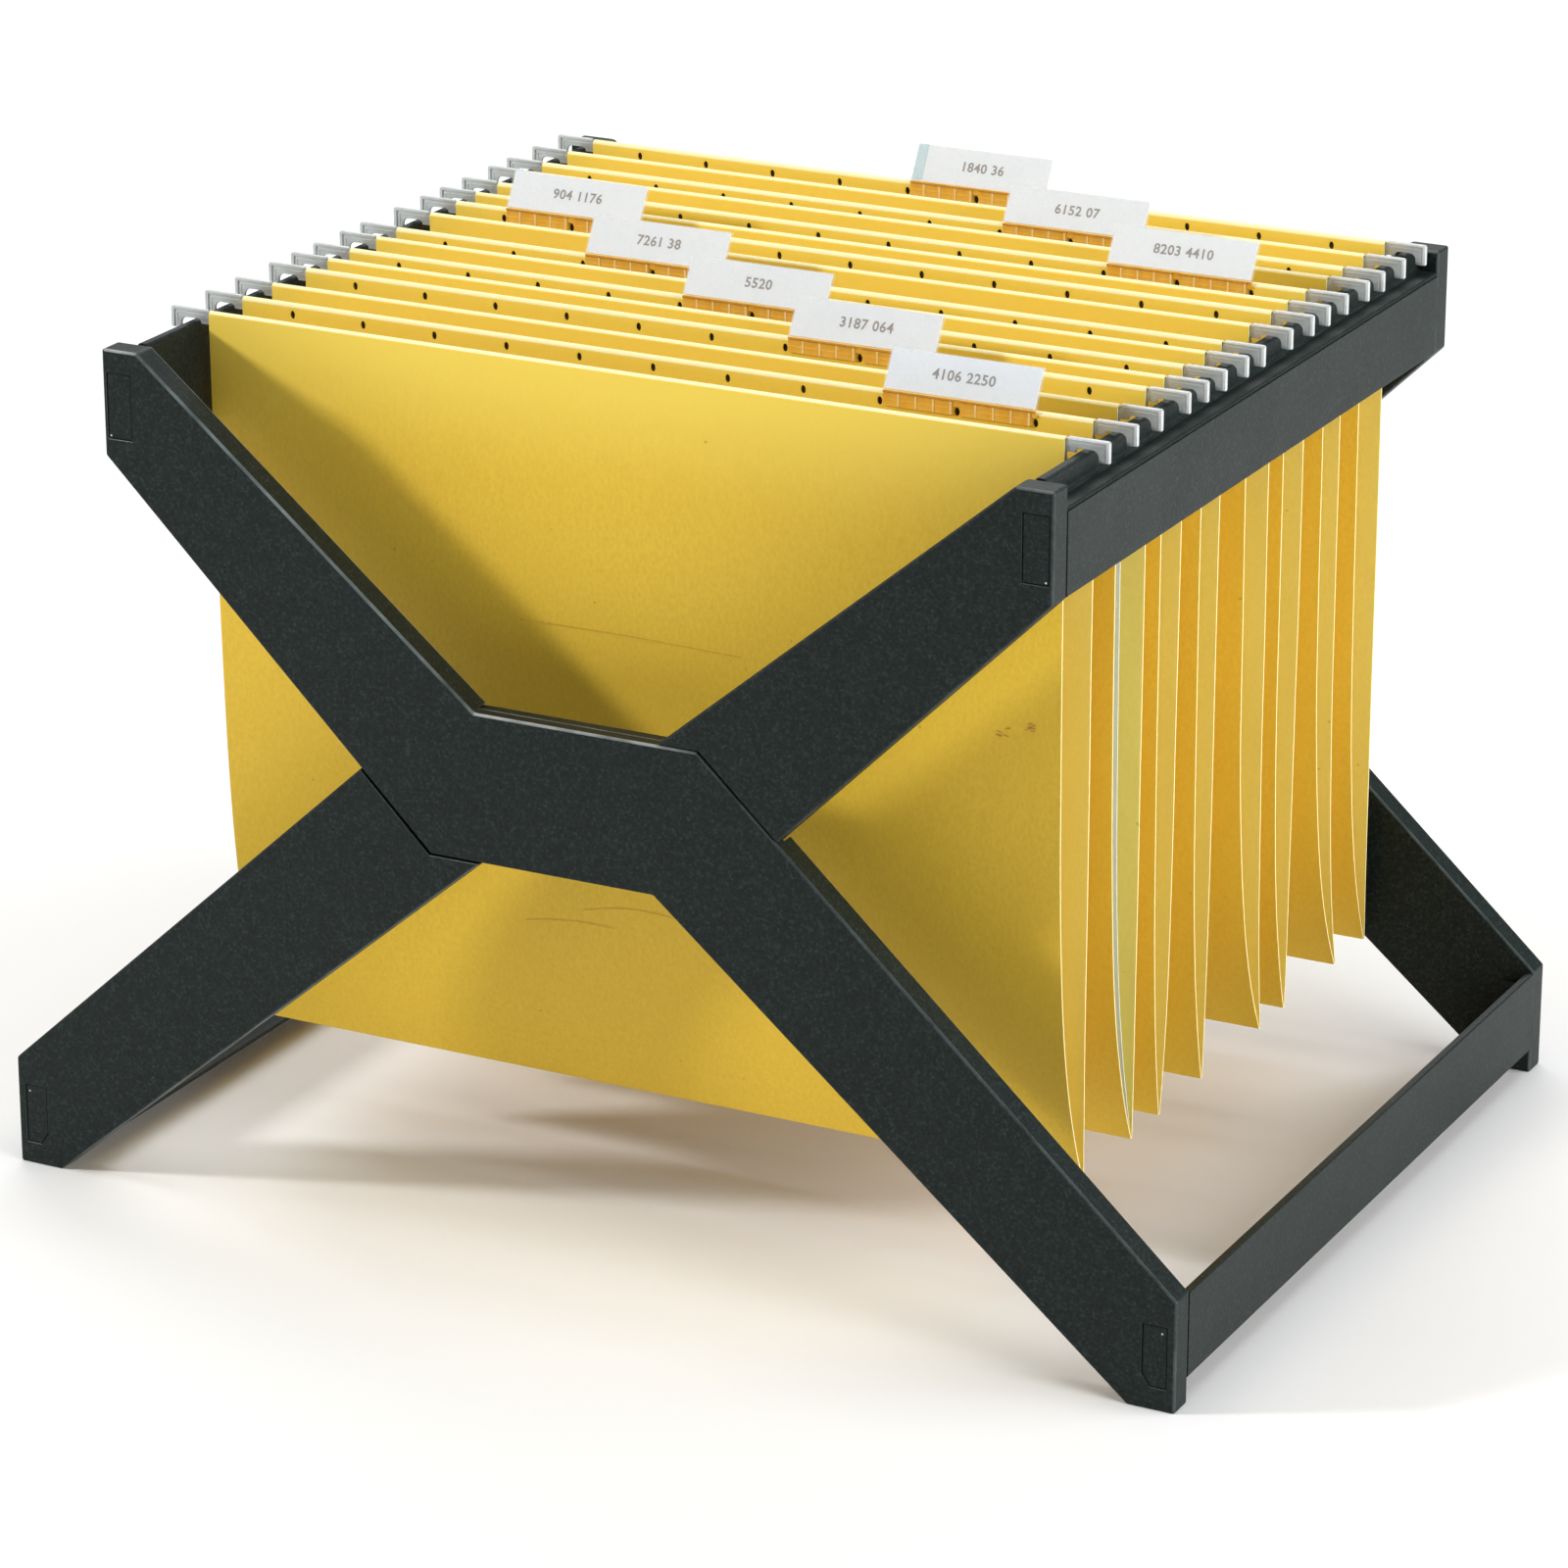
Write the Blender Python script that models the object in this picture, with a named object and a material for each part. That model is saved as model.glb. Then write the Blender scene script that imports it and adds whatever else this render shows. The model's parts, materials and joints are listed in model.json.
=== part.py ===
"""Desk-top rack for suspension files, with eight files hanging in it.

Two crossed pairs of plastic arms carry two top rails and two foot stretchers.
Each file is a front and a rear card panel, a steel bar in each top hem,
and an index tab with a paper label on the rear panel.
The second file holds a loose sheet of paper.

Units are metres, +Z is up, X runs across the rack and the front faces -Y.
The origin is on the table, under the middle of the rack.
The sizes below are in millimetres and are scaled by MM where a mesh is made.
"""

import math

import bmesh
import bpy
from mathutils import Matrix, Vector

MM = 0.001
GAP = 0.3

# Rack
DEPTH = 330.0
FRONT_Y = -DEPTH / 2.0
ARM_THICK = 10.0
ARM_BEVEL = 0.8
TOP_HALF = 175.0
TOP_Z = 304.0
TOP_END = 37.0
TOP_FLAT = 13.5
FOOT_HALF = 222.5
FOOT_END = 39.5
FOOT_FLAT = 17.0
JOG_TOP_Z = 198.0
JOG_TOP_X = (-34.0, 49.0)
JOG_LOW_Z = 145.5
JOG_LOW_X = (-51.5, 32.5)
LAP_GAP = 0.6

# Sockets in the arm ends
RAIL_SOCKET = (164.0, 173.6, 273.0, 296.0)
FOOT_SOCKET = (210.5, 219.5, 8.0, 30.0)
FOOT_SOCKET_CUT = (3.0, 4.5)

# Top rails
LIP_TOP = 304.4
LIP_IN = 163.6
LIP_OUT = 167.4
LIP_ROUND = 1.3
SHELF_Z = 296.5
SEAM_Z = (295.0, 295.8)
SEAM_DEEP = 0.5
RAIL_LOW_Z = 266.8
CHANNEL = (165.6, 172.0, 288.0)
END_BLOCK = 4.0

# Foot stretchers
BOARD_THICK = 3.0
BOARD_Z = (9.0, 39.2)
FLANGE_IN = 195.4
FLANGE_THICK = 1.6
BLOCK_TOP = 34.5

# Files
FRONT_BARS = (-122.3, -82.0, -45.4, -12.8, 24.5, 57.0, 92.0, 125.0)
REAR_BARS = (-101.0, -60.0, -30.7, 1.2, 43.0, 73.0, 106.0, 144.7)
FOLDS = (-99.0, -60.0, -37.0, -1.0, 50.0, 72.0, 119.0, 147.0)
CARD = 0.5
CARD_HALF = 159.0
CARD_TOP = 308.5
FOLD_Z = 44.5
FOLD_HALF_GAP = 0.45
HEM_LOW_Z = 294.0
BAR_THICK = 1.0
BAR_LOW_Z = 297.0
BAR_TOP_Z = 307.1
HOOK_TOP = 308.7
HOOK_OUT = 174.4
HOOK_TOOTH_IN = 170.6
HOOK_TOOTH_Z = 301.3
NOTCH_TOP = 305.2
NOTCH_IN = 162.6
SHOULDER_IN = 158.6
SHOULDER_Z = 303.6
SLOT_COUNT = 11
SLOT_PITCH = 27.8
SLOT_WIDE = 2.2
SLOT_Z = (303.0, 306.2)

# Index tabs and labels
TAB_SLOTS = (9, 7, 5, 3, 1, 9, 7, 5)
TAB_HALF = 28.4
TAB_LEAN = math.radians(29.0)
TAB_LONG = 14.6
TAB_LEAF = 0.5
TAB_POCKET = 0.9
TAB_LOW_Z = 302.6
PRONG_WIDE = 1.2
LABEL_HALF = 27.4
LABEL_THICK = 0.3

# The sheet of paper left in the second file
PAPER_FILE = 2
PAPER_X = (-137.5, 159.0)
PAPER_Z = (50.0, 257.0)
PAPER_THICK = 0.3
PAPER_BACK = 3.9
PAPER_RISE = 34.0

MATERIALS = {
    "rack_plastic": ((0.031, 0.037, 0.039, 1.0), 0.55, 0.0),
    "file_card": ((0.80, 0.50, 0.055, 1.0), 0.75, 0.0),
    "bar_steel": ((0.60, 0.63, 0.64, 1.0), 0.35, 0.9),
    "tab_plastic": ((0.86, 0.88, 0.88, 1.0), 0.12, 0.0),
    "label_paper": ((0.82, 0.84, 0.86, 1.0), 0.8, 0.0),
    "sheet_paper": ((0.62, 0.74, 0.76, 1.0), 0.8, 0.0),
}


def clear_scene():
    for obj in list(bpy.data.objects):
        bpy.data.objects.remove(obj, do_unlink=True)


def make_materials():
    for name, (colour, roughness, metallic) in MATERIALS.items():
        mat = bpy.data.materials.new(name)
        mat.use_nodes = True
        shader = mat.node_tree.nodes["Principled BSDF"]
        shader.inputs["Base Color"].default_value = colour
        shader.inputs["Roughness"].default_value = roughness
        shader.inputs["Metallic"].default_value = metallic


def add_object(name, bm, material=None):
    bmesh.ops.recalc_face_normals(bm, faces=bm.faces)
    mesh = bpy.data.meshes.new(name)
    bm.to_mesh(mesh)
    bm.free()
    obj = bpy.data.objects.new(name, mesh)
    bpy.context.scene.collection.objects.link(obj)
    if material:
        mesh.materials.append(bpy.data.materials[material])
    return obj


def prism(name, outline, low, high, axis, material=None):
    """An outline in the XZ plane run along Y, or in the YZ plane run along X."""
    bm = bmesh.new()
    corners = []
    for a, b in outline:
        spot = (a, low, b) if axis == "Y" else (low, a, b)
        corners.append(bm.verts.new(Vector(spot) * MM))
    face = bm.faces.new(corners)
    run = (0.0, high - low, 0.0) if axis == "Y" else (high - low, 0.0, 0.0)
    grown = bmesh.ops.extrude_face_region(bm, geom=[face])
    moved = [v for v in grown["geom"] if isinstance(v, bmesh.types.BMVert)]
    bmesh.ops.translate(bm, verts=moved, vec=Vector(run) * MM)
    return add_object(name, bm, material)


def block(name, low, high):
    outline = ((low[0], low[2]), (high[0], low[2]), (high[0], high[2]), (low[0], high[2]))
    return prism(name, outline, low[1], high[1], "Y")


def bake(obj):
    """Replace the object's mesh with what its modifiers make of it."""
    graph = bpy.context.evaluated_depsgraph_get()
    mesh = bpy.data.meshes.new_from_object(obj.evaluated_get(graph))
    obj.modifiers.clear()
    obj.data = mesh


def combine(obj, other, operation):
    """Join another body to this one, or cut it away, and drop the other."""
    step = obj.modifiers.new(operation.lower(), "BOOLEAN")
    step.operation = operation
    step.solver = "EXACT"
    step.object = other
    bake(obj)
    bpy.data.objects.remove(other, do_unlink=True)


def soften(obj, width, segments=2):
    step = obj.modifiers.new("bevel", "BEVEL")
    step.width = width * MM
    step.segments = segments
    step.limit_method = "ANGLE"
    step.angle_limit = math.radians(30.0)
    bake(obj)


def attach(obj, parent):
    """Hang a mesh made in place from an empty, with its origin on the empty."""
    obj.data.transform(Matrix.Translation(-parent.location))
    obj.parent = parent


def add_empty(name, location):
    empty = bpy.data.objects.new(name, None)
    empty.empty_display_size = 0.02
    empty.location = Vector(location) * MM
    bpy.context.scene.collection.objects.link(empty)
    return empty


def arm_outline():
    low_left, low_right = JOG_LOW_X
    top_left, top_right = JOG_TOP_X
    return (
        (-TOP_HALF, TOP_Z),
        (-TOP_HALF, TOP_Z - TOP_END),
        (low_left, JOG_LOW_Z),
        (low_right, JOG_LOW_Z),
        (FOOT_HALF - FOOT_FLAT, 0.0),
        (FOOT_HALF, 0.0),
        (FOOT_HALF, FOOT_END),
        (top_right, JOG_TOP_Z),
        (top_left, JOG_TOP_Z),
        (-TOP_HALF + TOP_FLAT, TOP_Z),
    )


def lap_outline():
    """Where the crossing arm passes, widened by the gap."""
    low_left, low_right = JOG_LOW_X
    top_left, top_right = JOG_TOP_X
    rise = (TOP_Z - TOP_END - JOG_LOW_Z) / (TOP_HALF + low_left)
    fall = (JOG_TOP_Z - FOOT_END) / (FOOT_HALF - top_right)
    reach = 40.0
    side = LAP_GAP * 1.4
    return (
        (-top_right - side - reach, JOG_TOP_Z - fall * reach),
        (-top_right - side, JOG_TOP_Z + LAP_GAP),
        (top_right + 5.0, JOG_TOP_Z + LAP_GAP),
        (-low_left + side + reach, JOG_LOW_Z + rise * reach),
        (-low_left + side, JOG_LOW_Z - LAP_GAP),
        (low_left - 5.0, JOG_LOW_Z - LAP_GAP),
    )


def foot_socket_outline(inset):
    x_in, x_out, z_low, z_top = FOOT_SOCKET
    cut_x, cut_z = FOOT_SOCKET_CUT
    return (
        (x_in + inset, z_low + cut_z + inset * 0.5),
        (x_in + cut_x + inset * 0.5, z_low + inset),
        (x_out - inset, z_low + inset),
        (x_out - inset, z_top - inset),
        (x_in + inset, z_top - inset),
    )


def make_arm(name):
    """One arm: its top end is on the left, and its rear half is cut away at the crossing."""
    arm = prism(name, arm_outline(), 0.0, ARM_THICK, "Y", "rack_plastic")
    soften(arm, ARM_BEVEL)
    half = ARM_THICK / 2.0
    lap = prism("lap", lap_outline(), half - GAP / 2.0, ARM_THICK + 5.0, "Y")
    combine(arm, lap, "DIFFERENCE")
    x_in, x_out, z_low, z_top = RAIL_SOCKET
    window = block("window", (-x_out, -5.0, z_low), (-x_in, ARM_THICK + 5.0, z_top))
    combine(arm, window, "DIFFERENCE")
    foot = prism("window", foot_socket_outline(0.0), -5.0, ARM_THICK + 5.0, "Y")
    combine(arm, foot, "DIFFERENCE")
    return arm


def make_arms():
    rear_y = FRONT_Y + DEPTH - ARM_THICK
    turned = {
        "arm_front_outer": (False, FRONT_Y),
        "arm_front_inner": (True, FRONT_Y),
        "arm_rear_outer": (True, rear_y),
        "arm_rear_inner": (False, rear_y),
    }
    for name, (turn, low_y) in turned.items():
        arm = make_arm(name)
        if turn:
            arm.rotation_euler = (0.0, 0.0, math.pi)
            low_y = low_y + ARM_THICK
        arm.location = (0.0, low_y * MM, 0.0)


def mirrored(outline, side):
    return [(side * x, z) for x, z in outline]


def tongues(obj, outline, side):
    """Join a tongue at each end that fills the socket in the arm end."""
    length = ARM_THICK + END_BLOCK
    start = FRONT_Y + GAP
    for low in (start, -start - length):
        tongue = prism("tongue", mirrored(outline, side), low, low + length, "Y")
        combine(obj, tongue, "UNION")


def make_rail(name, side):
    wall_in, wall_out, web_z = CHANNEL
    seam_low, seam_high = SEAM_Z
    outline = [
        (LIP_IN, RAIL_LOW_Z),
        (wall_in, RAIL_LOW_Z),
        (wall_in, web_z),
        (wall_out, web_z),
        (wall_out, RAIL_LOW_Z),
        (TOP_HALF - 0.4, RAIL_LOW_Z),
        (TOP_HALF, RAIL_LOW_Z + 0.4),
        (TOP_HALF, seam_low),
        (TOP_HALF - SEAM_DEEP, seam_low + 0.2),
        (TOP_HALF - SEAM_DEEP, seam_high),
        (TOP_HALF - 0.1, seam_high),
        (TOP_HALF - 0.6, SHELF_Z),
        (LIP_OUT + 1.2, SHELF_Z),
        (LIP_OUT + 0.3, SHELF_Z + 0.5),
        (LIP_OUT, SHELF_Z + 1.4),
    ]
    for step in range(5):
        angle = math.pi / 2.0 * step / 4.0
        x = LIP_OUT - LIP_ROUND * (1.0 - math.cos(angle))
        outline.append((x, LIP_TOP - LIP_ROUND * (1.0 - math.sin(angle))))
    outline.append((LIP_IN + 0.6, LIP_TOP))
    outline.append((LIP_IN, LIP_TOP - 0.6))
    start = FRONT_Y + ARM_THICK + GAP
    rail = prism(name, mirrored(outline, side), start, -start, "Y", "rack_plastic")
    for low in (start, -start - END_BLOCK):
        x_low, x_high = sorted((side * (wall_in - 0.8), side * (wall_out + 0.8)))
        corner = (x_low, low + 0.1, RAIL_LOW_Z + 0.5)
        plug = block("plug", corner, (x_high, low + END_BLOCK - 0.1, web_z + 0.8))
        combine(rail, plug, "UNION")
    x_in, x_out, z_low, z_top = RAIL_SOCKET
    tongue = (
        (x_in + GAP, z_low + GAP),
        (x_out - GAP, z_low + GAP),
        (x_out - GAP, z_top - GAP),
        (x_in + GAP, z_top - GAP),
    )
    tongues(rail, tongue, side)


def make_stretcher(name, side):
    inner = FOOT_HALF - BOARD_THICK
    z_low, z_top = BOARD_Z
    outline = (
        (FLANGE_IN + 0.3, z_low),
        (FOOT_HALF - 0.4, z_low),
        (FOOT_HALF, z_low + 0.4),
        (FOOT_HALF, z_top - 0.4),
        (FOOT_HALF - 0.4, z_top),
        (inner + 0.4, z_top),
        (inner, z_top - 0.4),
        (inner, z_low + FLANGE_THICK),
        (FLANGE_IN + 0.3, z_low + FLANGE_THICK),
        (FLANGE_IN, z_low + FLANGE_THICK - 0.3),
        (FLANGE_IN, z_low + 0.3),
    )
    start = FRONT_Y + ARM_THICK + GAP
    board = prism(name, mirrored(outline, side), start, -start, "Y", "rack_plastic")
    x_in = FOOT_SOCKET[0]
    for low in (start, -start - END_BLOCK):
        x_low, x_high = sorted((side * (x_in + 0.6), side * (inner + 1.0)))
        corner = (x_low, low + 0.1, z_low + 0.6)
        lug = block("lug", corner, (x_high, low + END_BLOCK - 0.1, BLOCK_TOP))
        combine(board, lug, "UNION")
    tongues(board, foot_socket_outline(GAP), side)


def panel_centre(z, top_y, fold_y):
    """Where a card panel's middle is at a height: it hangs from its bar and curves to the fold."""
    share = (z - FOLD_Z) / (CARD_TOP - FOLD_Z)
    away = 0.12 * (1.0 - share) + 0.88 * (1.0 - share) ** 6
    return top_y + (fold_y - top_y) * away


def panel_outline(bar_y, fold_y, side):
    """A panel's section. side is -1 for a front panel and 1 for a rear one."""
    inner_r = BAR_THICK / 2.0 + GAP
    outer_r = inner_r + CARD
    arc_z = CARD_TOP - outer_r
    top_y = bar_y + side * (inner_r + CARD / 2.0)
    fold = fold_y + side * FOLD_HALF_GAP
    shares = (0.0, 0.025, 0.055, 0.09, 0.13, 0.18, 0.24, 0.32, 0.42, 0.56, 0.75)
    heights = [FOLD_Z + s * (arc_z - FOLD_Z) for s in shares]
    outline = []
    for z in heights:
        outline.append((panel_centre(z, top_y, fold) + side * CARD / 2.0, z))
    for step in range(7):
        angle = math.pi * step / 6.0
        y = bar_y + side * outer_r * math.cos(angle)
        outline.append((y, arc_z + outer_r * math.sin(angle)))
    outline.append((bar_y - side * outer_r, HEM_LOW_Z + 2.0))
    outline.append((bar_y - side * (outer_r - 1.0), HEM_LOW_Z))
    outline.append((bar_y - side * (inner_r - 1.0), HEM_LOW_Z))
    outline.append((bar_y - side * inner_r, HEM_LOW_Z + 2.0))
    for step in range(5):
        angle = math.pi * (4 - step) / 4.0
        y = bar_y + side * inner_r * math.cos(angle)
        outline.append((y, arc_z + inner_r * math.sin(angle)))
    for z in reversed(heights):
        outline.append((panel_centre(z, top_y, fold) - side * CARD / 2.0, z))
    return outline


def slot_x(index):
    return (index - (SLOT_COUNT - 1) / 2.0) * SLOT_PITCH


def make_panel(name, bar_y, fold_y, side):
    outline = panel_outline(bar_y, fold_y, side)
    panel = prism(name, outline, -CARD_HALF, CARD_HALF, "X", "file_card")
    if side < 0:
        return panel
    bm = bmesh.new()
    ply_out = bar_y - BAR_THICK / 2.0 - GAP - CARD
    size = (SLOT_WIDE, CARD + 0.4, SLOT_Z[1] - SLOT_Z[0])
    for index in range(SLOT_COUNT):
        middle = (slot_x(index), ply_out + CARD / 2.0, sum(SLOT_Z) / 2.0)
        place = Matrix.Translation(Vector(middle) * MM)
        scale = Matrix.Diagonal((size[0] * MM, size[1] * MM, size[2] * MM, 1.0))
        bmesh.ops.create_cube(bm, size=1.0, matrix=place @ scale)
    combine(panel, add_object("slots", bm), "DIFFERENCE")
    return panel


def make_bar(name, bar_y):
    """A bar with a hook at each end: the notch rides on the rail's lip, and a shallow shoulder centres it."""
    half = [
        (SHOULDER_IN - 0.6, BAR_LOW_Z),
        (SHOULDER_IN, BAR_LOW_Z + 0.6),
        (SHOULDER_IN, SHOULDER_Z - 0.6),
        (SHOULDER_IN + 0.6, SHOULDER_Z),
        (NOTCH_IN, SHOULDER_Z),
        (NOTCH_IN + 0.5, NOTCH_TOP - 0.4),
        (LIP_IN + 0.4, NOTCH_TOP),
        (LIP_OUT + 0.6, NOTCH_TOP),
        (HOOK_TOOTH_IN - 1.0, NOTCH_TOP - 0.7),
        (HOOK_TOOTH_IN - 0.2, NOTCH_TOP - 1.8),
        (HOOK_TOOTH_IN, HOOK_TOOTH_Z),
        (HOOK_OUT - 0.4, HOOK_TOOTH_Z),
        (HOOK_OUT, HOOK_TOOTH_Z + 0.4),
        (HOOK_OUT, HOOK_TOP - 0.4),
        (HOOK_OUT - 0.4, HOOK_TOP),
        (160.2, HOOK_TOP),
        (159.6, HOOK_TOP - 0.6),
        (159.6, BAR_TOP_Z),
    ]
    outline = half + [(-x, z) for x, z in reversed(half)]
    return prism(
        name, outline, bar_y - BAR_THICK / 2.0, bar_y + BAR_THICK / 2.0, "Y", "bar_steel"
    )


def lean_point(bar_y, along, front):
    """A point on the leaning leaves: along runs up them, front is towards the reader."""
    origin_y = bar_y - 2.05
    origin_z = CARD_TOP + 0.1
    y = origin_y + along * math.sin(TAB_LEAN) - front * math.cos(TAB_LEAN)
    z = origin_z + along * math.cos(TAB_LEAN) + front * math.sin(TAB_LEAN)
    return (y, z)


def make_tab(name, bar_y, middle):
    near = TAB_POCKET / 2.0
    far = near + TAB_LEAF
    outline = (
        (bar_y - 2.5, TAB_LOW_Z),
        (bar_y - 2.5, CARD_TOP - 0.4),
        lean_point(bar_y, 0.6, far),
        lean_point(bar_y, TAB_LONG, far),
        lean_point(bar_y, TAB_LONG, near),
        lean_point(bar_y, 1.4, near),
        lean_point(bar_y, 1.4, -near),
        lean_point(bar_y, TAB_LONG, -near),
        lean_point(bar_y, TAB_LONG, -far),
        lean_point(bar_y, 0.9, -far),
        (bar_y - 1.6, CARD_TOP),
        (bar_y - 1.6, TAB_LOW_Z),
    )
    tab = prism(name, outline, middle - TAB_HALF, middle + TAB_HALF, "X", "tab_plastic")
    for place in (middle - SLOT_PITCH, middle, middle + SLOT_PITCH):
        low = (place - PRONG_WIDE / 2.0, bar_y - 2.0, SLOT_Z[0] + 0.5)
        high = (place + PRONG_WIDE / 2.0, bar_y - 0.9, SLOT_Z[1] - 0.5)
        combine(tab, block("prong", low, high), "UNION")
    return tab


def make_label(name, bar_y, middle):
    half = LABEL_THICK / 2.0
    outline = (
        lean_point(bar_y, 1.8, half),
        lean_point(bar_y, TAB_LONG - 0.4, half),
        lean_point(bar_y, TAB_LONG - 0.4, -half),
        lean_point(bar_y, 1.8, -half),
    )
    return prism(name, outline, middle - LABEL_HALF, middle + LABEL_HALF, "X", "label_paper")


def make_paper(name, bar_y, fold_y):
    """A loose sheet standing in a file, a little behind the front panel and shaped by it."""
    z_low, z_top = PAPER_Z
    top_y = bar_y - BAR_THICK / 2.0 - GAP - CARD / 2.0
    near, far = [], []
    steps = 16
    for step in range(steps + 1):
        z = z_low + (z_top - z_low) * (step / steps) ** 1.6
        away = PAPER_BACK * (1.0 - math.exp(-(z - FOLD_Z) / (PAPER_RISE / 1.6)))
        y = panel_centre(z, top_y, fold_y - FOLD_HALF_GAP) + away
        near.append((y - PAPER_THICK / 2.0, z))
        far.append((y + PAPER_THICK / 2.0, z))
    return prism(name, near + far[::-1], PAPER_X[0], PAPER_X[1], "X", "sheet_paper")


def make_file(number, front_y, rear_y, fold_y, tab_slot):
    prefix = f"file_{number}"
    carrier = add_empty(f"{prefix}_carrier", (0.0, rear_y, HOOK_TOP))
    hinge = add_empty(f"{prefix}_hinge", (0.0, fold_y, FOLD_Z))
    middle = slot_x(tab_slot)
    attach(make_panel(f"{prefix}_rear_panel", rear_y, fold_y, 1), carrier)
    attach(make_bar(f"{prefix}_rear_bar", rear_y), carrier)
    attach(make_tab(f"{prefix}_tab", rear_y, middle), carrier)
    attach(make_label(f"{prefix}_label", rear_y, middle), carrier)
    attach(make_panel(f"{prefix}_front_panel", front_y, fold_y, -1), hinge)
    attach(make_bar(f"{prefix}_front_bar", front_y), hinge)
    if number == PAPER_FILE:
        attach(make_paper(f"{prefix}_paper", front_y, fold_y), hinge)
    hinge.location = hinge.location - carrier.location
    hinge.parent = carrier


def main():
    clear_scene()
    make_materials()
    make_arms()
    make_rail("rail_left", -1)
    make_rail("rail_right", 1)
    make_stretcher("stretcher_left", -1)
    make_stretcher("stretcher_right", 1)
    files = zip(FRONT_BARS, REAR_BARS, FOLDS, TAB_SLOTS)
    for number, (front_y, rear_y, fold_y, tab_slot) in enumerate(files, start=1):
        make_file(number, front_y, rear_y, fold_y, tab_slot)


main()
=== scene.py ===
"""Looks for the desk-top suspension-file rack: grained plastic, folded card, stamped steel, clear tabs.

Lengths are millimetres unless a comment says metres. Each new piece is placed from the bars,
folds and tabs in the frame, and moves with their bodies.
"""

import json
import math
import random

import bmesh
import bpy
from mathutils import Matrix, Vector, noise
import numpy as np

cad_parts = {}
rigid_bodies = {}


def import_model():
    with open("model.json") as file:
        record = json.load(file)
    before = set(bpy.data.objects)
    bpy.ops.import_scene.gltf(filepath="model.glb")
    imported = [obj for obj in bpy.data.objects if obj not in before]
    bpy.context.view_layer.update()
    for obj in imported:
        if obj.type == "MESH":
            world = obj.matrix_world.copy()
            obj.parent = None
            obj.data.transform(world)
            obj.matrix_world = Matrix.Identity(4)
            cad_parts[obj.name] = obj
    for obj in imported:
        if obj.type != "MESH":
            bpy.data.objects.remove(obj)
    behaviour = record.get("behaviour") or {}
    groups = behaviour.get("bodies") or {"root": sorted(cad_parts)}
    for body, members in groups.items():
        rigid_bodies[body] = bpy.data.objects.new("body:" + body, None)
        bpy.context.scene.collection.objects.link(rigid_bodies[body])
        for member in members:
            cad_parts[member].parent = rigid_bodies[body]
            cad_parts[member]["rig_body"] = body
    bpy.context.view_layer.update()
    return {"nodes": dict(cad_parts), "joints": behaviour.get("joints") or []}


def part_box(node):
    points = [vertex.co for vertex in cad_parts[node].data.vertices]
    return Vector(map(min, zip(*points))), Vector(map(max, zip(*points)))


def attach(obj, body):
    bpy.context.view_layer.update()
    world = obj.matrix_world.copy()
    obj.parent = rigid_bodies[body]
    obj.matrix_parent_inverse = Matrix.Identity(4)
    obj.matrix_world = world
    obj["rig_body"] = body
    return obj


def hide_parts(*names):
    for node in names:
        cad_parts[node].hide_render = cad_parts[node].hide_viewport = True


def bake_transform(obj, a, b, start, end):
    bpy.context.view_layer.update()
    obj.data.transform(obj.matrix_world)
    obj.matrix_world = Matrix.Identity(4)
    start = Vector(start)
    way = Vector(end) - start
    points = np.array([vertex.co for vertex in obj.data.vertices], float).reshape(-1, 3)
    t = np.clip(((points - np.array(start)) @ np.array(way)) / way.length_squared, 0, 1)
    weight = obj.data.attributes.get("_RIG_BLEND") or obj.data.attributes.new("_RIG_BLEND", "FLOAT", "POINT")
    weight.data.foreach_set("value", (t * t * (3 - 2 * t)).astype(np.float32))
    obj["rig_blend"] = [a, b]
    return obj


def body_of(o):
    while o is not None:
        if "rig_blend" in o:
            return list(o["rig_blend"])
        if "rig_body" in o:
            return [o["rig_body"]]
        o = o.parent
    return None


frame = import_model()
nodes = frame["nodes"]

MM = 0.001
FILES = range(1, 9)
INDEX_NUMBERS = ("4106 2250", "3187 064", "5520", "7261 38", "904 1176", "8203 4410", "6152 07", "1840 36")

# Cards
FOLD_Z = 44.5
FOLD_HALF_GAP = 0.45
CARD = 0.55
CARD_HALF = 159.0
CARD_TOP = 308.5
HEM_R = 1.05
HEM_LOW = 294.0
CREST_Z = CARD_TOP - HEM_R - CARD / 2.0
SLOT_PITCH = 27.8
SLOT_PLACES = range(-5, 6)
SLOT_HALF = 0.95
SLOT_Z = (303.2, 306.1)
CARD_SHARP = 50

# Bars and hooks
BAR_HALF = 0.42
BAR_EASE = 0.12
BAR_LOW = 297.0
BAR_TOP = 307.2
HOOK_FROM = 150.0
HOOK_TOP = 308.7
SHOULDER_Z = 303.6

# Index tabs
TAB_LEAN = math.radians(29.0)
TAB_LONG = 14.6
TAB_LEFT = -26.3
TAB_RIGHT = 28.2
TAB_FACE = 2.05
TAB_BACK = 1.6
LABEL_HALF = 0.14

# The small pips left by the mould at the upper and the lower end of each arm
PIP_PLACES = ((172.4, 274.2), (217.6, 27.6))
PIP_RADIUS = 0.38
PIP_SUNK = 0.9995
PIP_FLAT = 0.18
ARM_FACE_Y = 165.0

# Edges that turn by more than this, in radians, are eased by a bevel
EASED_ANGLE = 0.5

BLACK = (0.0, 0.0, 0.0)


def node_box(name):
    low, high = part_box(name)
    return low / MM, high / MM


def file_facts(number):
    """The bars, the fold and the tab of a file, in millimetres, read from its CAD nodes."""
    front = sum(node_box(f"file_{number}_front_bar")[i].y for i in (0, 1)) / 2.0
    rear = sum(node_box(f"file_{number}_rear_bar")[i].y for i in (0, 1)) / 2.0
    hinge = next(j for j in frame["joints"] if j["name"] == f"file_{number}_open")
    tab = sum(node_box(f"file_{number}_tab")[i].x for i in (0, 1)) / 2.0
    return {"front": front, "rear": rear, "fold": hinge["pos_m"][1] / MM, "tab": tab}


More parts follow.
